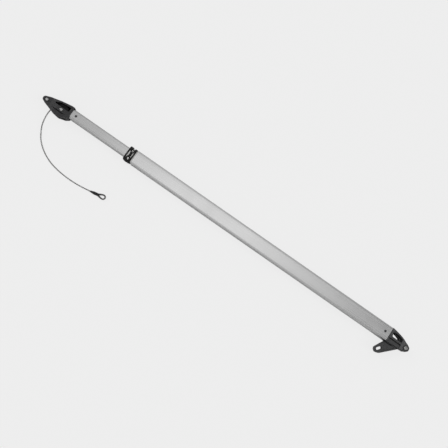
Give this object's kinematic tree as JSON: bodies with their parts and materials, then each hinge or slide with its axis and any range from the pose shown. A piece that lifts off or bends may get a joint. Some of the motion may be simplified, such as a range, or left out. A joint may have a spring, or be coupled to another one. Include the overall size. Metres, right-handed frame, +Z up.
{
  "type": "rigid boom vang",
  "caption": "Telescoping rigid boom vang of two rounded rectangular aluminium tubes with a gas spring, cast end fittings on clevis pins, and a wire tail with a thimble eye.",
  "frame": {"origin": "middle of the outer tube's flat underside, on which the vang lies", "axes": "+X along the tube towards the mast end, +Y across the tube away from the tackle lug, +Z up, along the clevis pins"},
  "size_m": [1.3321, 0.1894, 0.0421],
  "materials": {
    "anodised_aluminium": "satin clear anodised extrusion",
    "dark_casting": "dark grey painted casting",
    "stainless_steel": "polished stainless steel",
    "wire_rope": "stainless wire rope, 4 mm",
    "dark_screw": "dark coated countersunk screw",
    "acetal": "light grey acetal",
    "black_acetal": "black acetal",
    "shock_cord": "black braided shock cord, 4 mm",
    "shrink_tube": "black heat-shrink tube",
    "black_painted_steel": "gloss black painted steel",
    "bronze": "plain bearing bronze"
  },
  "bodies": {
    "outer": {"outer_tube": "anodised_aluminium", "mast_end_fitting": "dark_casting", "mast_fitting_screw_upper": "dark_screw", "mast_fitting_screw_lower": "dark_screw", "guide_bush": "acetal", "shock_cord_lashing": "shock_cord", "gas_spring_cylinder": "black_painted_steel", "gas_spring_gland": "black_acetal", "gas_spring_foot": "stainless_steel", "gas_spring_spacer_1": "black_acetal", "gas_spring_spacer_2": "black_acetal", "wire_anchor_terminal": "stainless_steel", "wire_anchor_pin": "stainless_steel", "wire_inner_leg": "wire_rope"},
    "inner": {"inner_tube": "anodised_aluminium", "boom_end_fitting": "dark_casting", "boom_fitting_screw_upper": "dark_screw", "boom_fitting_screw_lower": "dark_screw", "inner_tube_slider": "black_acetal", "slider_screw_upper": "dark_screw", "slider_screw_lower": "dark_screw", "gas_spring_rod": "stainless_steel", "gas_spring_piston": "stainless_steel", "gas_spring_piston_seal": "black_acetal", "sheave_axle": "stainless_steel", "sheave_axle_clip": "stainless_steel", "wire_over_sheave": "wire_rope", "wire_tail": "wire_rope", "wire_ferrule": "stainless_steel", "ferrule_sleeve": "shrink_tube", "wire_eye_loop": "wire_rope", "thimble": "stainless_steel"},
    "sheave": {"sheave": "black_acetal", "sheave_bearing": "bronze"},
    "mast_pin": {"mast_clevis_pin": "stainless_steel", "mast_pin_ring": "stainless_steel"},
    "boom_pin": {"boom_clevis_pin": "stainless_steel", "boom_pin_ring": "stainless_steel"}
  },
  "joints": [
    {"name": "vang_slide", "type": "slide", "parent": "outer", "child": "inner", "axis": [1, 0, 0], "range_m": [0, 0.18], "stiffness_N_per_m": 40, "springref_m": -0.12, "deforming": ["wire_inner_leg"]},
    {"name": "sheave_spin", "type": "hinge", "parent": "inner", "child": "sheave", "pos_m": [-0.724, -0.0093, 0.019], "axis": [0, 0, 1], "continuous": true},
    {"name": "mast_pin_turn", "type": "hinge", "parent": "outer", "child": "mast_pin", "pos_m": [0.528, -0.0064, 0.019], "axis": [0, 0, 1], "continuous": true},
    {"name": "boom_pin_turn", "type": "hinge", "parent": "inner", "child": "boom_pin", "pos_m": [-0.778, -0.0077, 0.019], "axis": [0, 0, 1], "continuous": true}
  ],
  "couplings": [
    {"joint": "sheave_spin", "follows": "vang_slide", "rad_per_m": 52.632}
  ]
}
